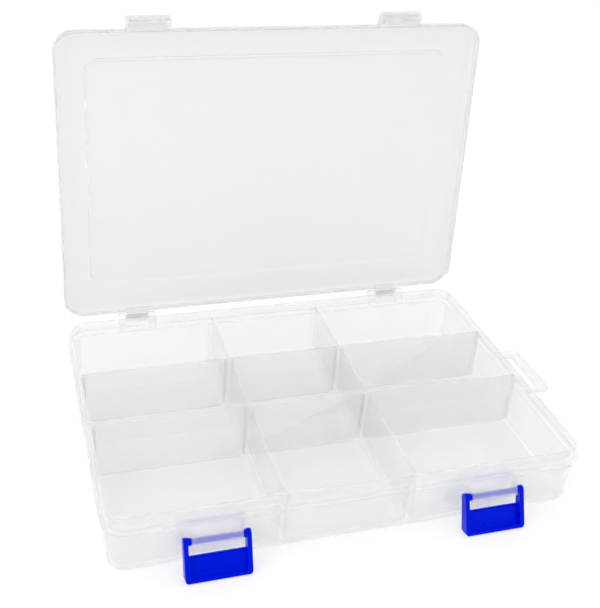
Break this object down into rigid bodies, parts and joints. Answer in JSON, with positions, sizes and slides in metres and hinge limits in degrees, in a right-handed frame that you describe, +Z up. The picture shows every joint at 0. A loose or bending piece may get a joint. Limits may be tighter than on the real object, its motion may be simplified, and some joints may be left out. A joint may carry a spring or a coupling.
{
  "type": "fishing tackle box",
  "caption": "Clear rectangular tackle box with a hinged lid, snap latches, a hang tab, fixed long walls and lift-out cross dividers, shown open.",
  "frame": {"origin": "centre of the tray's underside, on the surface it stands on", "axes": "+Z up, +X to the right as seen from the latch side, +Y from the latch side to the hinge side"},
  "size_m": [0.29, 0.22, 0.2357],
  "materials": {
    "clear_pp": "clear, slightly milky",
    "blue_pp": "gloss"
  },
  "bodies": {
    "tray_body": {"tray": "clear_pp"},
    "lid_body": {"lid": "clear_pp"},
    "latch_left_body": {"latch_left": "blue_pp"},
    "latch_right_body": {"latch_right": "blue_pp"},
    "divider_back_left_body": {"divider_back_left": "clear_pp"},
    "divider_back_middle_body": {"divider_back_middle": "clear_pp"},
    "divider_back_right_body": {"divider_back_right": "clear_pp"},
    "divider_front_left_body": {"divider_front_left": "clear_pp"},
    "divider_front_middle_body": {"divider_front_middle": "clear_pp"},
    "divider_front_right_body": {"divider_front_right": "clear_pp"}
  },
  "joints": [
    {"name": "lid_hinge", "type": "hinge", "parent": "tray_body", "child": "lid_body", "pos_m": [0, 0.0987, 0.0347], "axis": [-1, 0, 0], "range_deg": [-92.8, 0]},
    {"name": "latch_left_hinge", "type": "hinge", "parent": "tray_body", "child": "latch_left_body", "pos_m": [-0.0786, -0.0964, 0.0198], "axis": [1, 0, 0], "range_deg": [-138.4, 0]},
    {"name": "latch_right_hinge", "type": "hinge", "parent": "tray_body", "child": "latch_right_body", "pos_m": [0.0786, -0.0964, 0.0198], "axis": [1, 0, 0], "range_deg": [-138.4, 0]},
    {"name": "divider_back_left_lift", "type": "slide", "parent": "tray_body", "child": "divider_back_left_body", "axis": [0, 0, 1], "range_m": [0, 0.04]},
    {"name": "divider_back_middle_lift", "type": "slide", "parent": "tray_body", "child": "divider_back_middle_body", "axis": [0, 0, 1], "range_m": [0, 0.04]},
    {"name": "divider_back_right_lift", "type": "slide", "parent": "tray_body", "child": "divider_back_right_body", "axis": [0, 0, 1], "range_m": [0, 0.04]},
    {"name": "divider_front_left_lift", "type": "slide", "parent": "tray_body", "child": "divider_front_left_body", "axis": [0, 0, 1], "range_m": [0, 0.04]},
    {"name": "divider_front_middle_lift", "type": "slide", "parent": "tray_body", "child": "divider_front_middle_body", "axis": [0, 0, 1], "range_m": [0, 0.04]},
    {"name": "divider_front_right_lift", "type": "slide", "parent": "tray_body", "child": "divider_front_right_body", "axis": [0, 0, 1], "range_m": [0, 0.04]}
  ]
}
